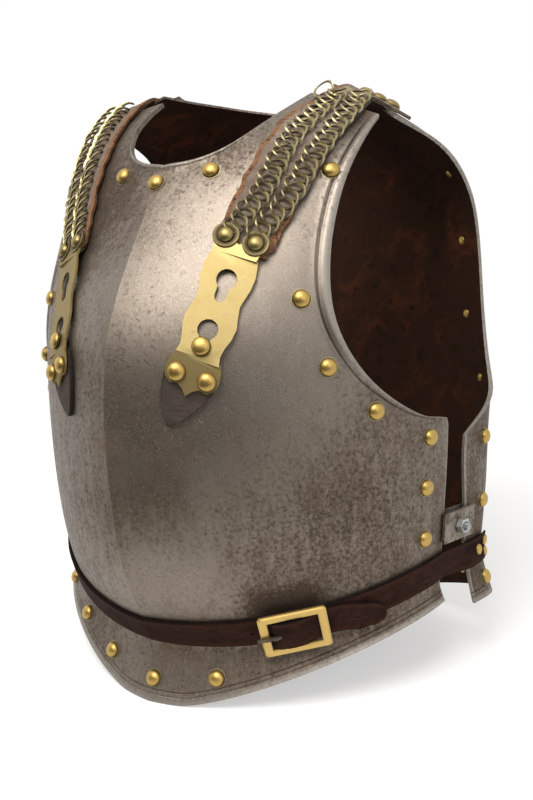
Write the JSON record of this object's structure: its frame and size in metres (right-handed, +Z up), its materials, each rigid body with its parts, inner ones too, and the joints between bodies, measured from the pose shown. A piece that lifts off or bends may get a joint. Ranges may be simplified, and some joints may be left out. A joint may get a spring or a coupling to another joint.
{
  "type": "cavalry cuirass",
  "caption": "Breastplate and backplate with flared waist, domed rivets, chain-covered shoulder straps hooked on studs, a buckled waist belt and bolted side clamps.",
  "frame": {"origin": "on the ground plane, under the middle of the object's box", "axes": "+Z up, -Y the way the wearer faces, +X the wearer's left"},
  "size_m": [0.366, 0.3084, 0.428],
  "materials": {
    "steel": "old polished plate, mottled with dark pits and brown rust",
    "brass": "worn yellow brass, dark in the corners",
    "chain_brass": "olive brass wire, bright on top",
    "buckle_brass": "tarnished brass",
    "strap_hide": "cracked grey-brown leather with a torn red-brown border",
    "leaf_hide": "dark worn leather",
    "belt_hide": "very dark red-brown leather",
    "tongue_steel": "dull grey steel",
    "clamp_steel": "pale grey bent plate",
    "zinc": "bright zinc"
  },
  "bodies": {
    "shell": {"breastplate": "steel", "backplate": "steel", "left_stud": "brass", "right_stud": "brass", "left_rear_lug": "strap_hide", "right_rear_lug": "strap_hide", "left_rear_rivet_1": "brass", "right_rear_rivet_1": "brass", "left_rear_rivet_2": "brass", "right_rear_rivet_2": "brass", "left_rear_rivet_3": "brass", "right_rear_rivet_3": "brass", "left_belt_rivet_1": "brass", "right_belt_rivet_1": "brass", "left_belt_rivet_2": "brass", "right_belt_rivet_2": "brass", "left_belt_rivet_3": "brass", "right_belt_rivet_3": "brass", "left_clamp_outer_plate": "clamp_steel", "right_clamp_outer_plate": "clamp_steel", "left_clamp_inner_plate": "clamp_steel", "right_clamp_inner_plate": "clamp_steel", "left_clamp_bolt": "zinc", "right_clamp_bolt": "zinc", "left_clamp_nut": "zinc", "right_clamp_nut": "zinc", "right_belt": "belt_hide", "left_belt": "belt_hide"},
    "left_strap": {"left_strap_leather": "strap_hide", "left_inner_chain": "chain_brass", "left_outer_chain": "chain_brass"},
    "left_hook_plate": {"left_end_plate": "brass", "left_strap_tip": "leaf_hide"},
    "right_strap": {"right_strap_leather": "strap_hide", "right_inner_chain": "chain_brass", "right_outer_chain": "chain_brass"},
    "right_hook_plate": {"right_end_plate": "brass", "right_strap_tip": "leaf_hide"},
    "buckle": {"buckle_frame": "buckle_brass"},
    "tongue": {"buckle_tongue": "tongue_steel"}
  },
  "joints": [
    {"name": "left_strap_lift", "type": "hinge", "parent": "shell", "child": "left_strap", "pos_m": [0.10339, 0.03293, 0.4153], "axis": [-0.87, 0.1804, 0.4588], "range_deg": [0, 100]},
    {"name": "left_keyhole_travel", "type": "hinge", "parent": "left_strap", "child": "left_hook_plate", "pos_m": [-0.05727, 0.1099, 0.18373], "axis": [0.8791, 0.3414, -0.3328], "range_deg": [0, 2.4]},
    {"name": "right_strap_lift", "type": "hinge", "parent": "shell", "child": "right_strap", "pos_m": [-0.10339, 0.03293, 0.4153], "axis": [-0.87, -0.1804, -0.4588], "range_deg": [0, 100]},
    {"name": "right_keyhole_travel", "type": "hinge", "parent": "right_strap", "child": "right_hook_plate", "pos_m": [0.05727, 0.1099, 0.18373], "axis": [0.8791, -0.3414, 0.3328], "range_deg": [0, 2.4]},
    {"name": "buckle_rock", "type": "hinge", "parent": "shell", "child": "buckle", "pos_m": [0.09788, -0.09054, 0.05907], "axis": [0.0173, -0.3383, 0.9409], "range_deg": [0, 2]},
    {"name": "tongue_lift", "type": "hinge", "parent": "buckle", "child": "tongue", "pos_m": [0.09788, -0.09054, 0.05907], "axis": [0.0173, -0.3383, 0.9409], "range_deg": [0, 18]}
  ]
}
